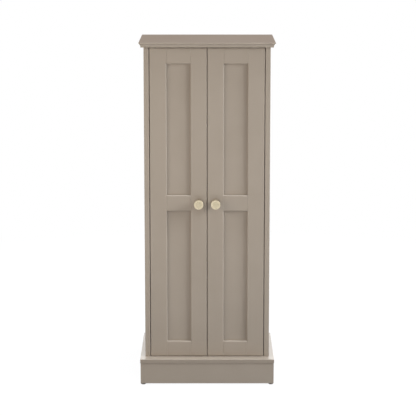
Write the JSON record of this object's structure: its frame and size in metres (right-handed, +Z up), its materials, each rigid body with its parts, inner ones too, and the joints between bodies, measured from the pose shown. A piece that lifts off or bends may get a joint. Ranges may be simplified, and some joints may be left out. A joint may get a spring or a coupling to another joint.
{
  "type": "bathroom cabinet",
  "caption": "Tall narrow painted cabinet on a plinth, with a moulded top, paired inset framed doors with round brass knobs, and shelves inside.",
  "frame": {"origin": "on the floor, below the middle of the cabinet's outline", "axes": "+Z up, -Y towards the front where the doors are, +X to the right seen from the front"},
  "size_m": [0.4, 0.32, 1.022],
  "materials": {
    "taupe_paint": "satin taupe paint on fibreboard",
    "bare_wood": "bare beech, unfinished",
    "pale_brass": "pale satin brass with fine turning marks",
    "zinc_steel": "zinc-plated steel",
    "grey_nylon": "moulded warm grey nylon",
    "white_nylon": "moulded white nylon",
    "magnet": "dark sintered magnet"
  },
  "bodies": {
    "carcass": {"top_board": "taupe_paint", "left_side_panel": "taupe_paint", "right_side_panel": "taupe_paint", "base_board": "taupe_paint", "back_panel": "taupe_paint", "wall_rail": "taupe_paint", "fixed_shelf": "taupe_paint", "upper_shelf": "taupe_paint", "lower_shelf": "taupe_paint", "plinth_front_board": "taupe_paint", "left_plinth_board": "taupe_paint", "right_plinth_board": "taupe_paint", "plinth_rear_board": "taupe_paint", "plinth_glue_blocks": "bare_wood", "plinth_screws": "zinc_steel", "front_left_glide": "grey_nylon", "front_right_glide": "grey_nylon", "rear_left_glide": "grey_nylon", "rear_right_glide": "grey_nylon", "cam_discs": "zinc_steel", "cam_bolts": "zinc_steel", "panel_dowels": "bare_wood", "shelf_pins": "zinc_steel", "left_upper_bush": "grey_nylon", "right_upper_bush": "grey_nylon", "left_lower_bush": "grey_nylon", "right_lower_bush": "grey_nylon", "left_catch_body": "white_nylon", "right_catch_body": "white_nylon", "left_catch_magnet": "magnet", "right_catch_magnet": "magnet", "catch_screws": "zinc_steel"},
    "left_door": {"left_hinge_stile": "taupe_paint", "left_meeting_stile": "taupe_paint", "left_top_rail": "taupe_paint", "left_middle_rail": "taupe_paint", "left_bottom_rail": "taupe_paint", "left_upper_panel": "taupe_paint", "left_lower_panel": "taupe_paint", "left_knob": "pale_brass", "left_knob_screw": "zinc_steel", "left_upper_pivot": "zinc_steel", "left_lower_pivot": "zinc_steel", "left_pivot_screws": "zinc_steel", "left_strike_plate": "zinc_steel", "left_strike_screw": "zinc_steel"},
    "right_door": {"right_hinge_stile": "taupe_paint", "right_meeting_stile": "taupe_paint", "right_top_rail": "taupe_paint", "right_middle_rail": "taupe_paint", "right_bottom_rail": "taupe_paint", "right_upper_panel": "taupe_paint", "right_lower_panel": "taupe_paint", "right_knob": "pale_brass", "right_knob_screw": "zinc_steel", "right_upper_pivot": "zinc_steel", "right_lower_pivot": "zinc_steel", "right_pivot_screws": "zinc_steel", "right_strike_plate": "zinc_steel", "right_strike_screw": "zinc_steel"}
  },
  "joints": [
    {"name": "left_door_hinge", "type": "hinge", "parent": "carcass", "child": "left_door", "pos_m": [-0.1555, -0.117, 0.5], "axis": [0, 0, -1], "range_deg": [0, 110]},
    {"name": "right_door_hinge", "type": "hinge", "parent": "carcass", "child": "right_door", "pos_m": [0.1555, -0.117, 0.5], "axis": [0, 0, 1], "range_deg": [0, 110]}
  ]
}
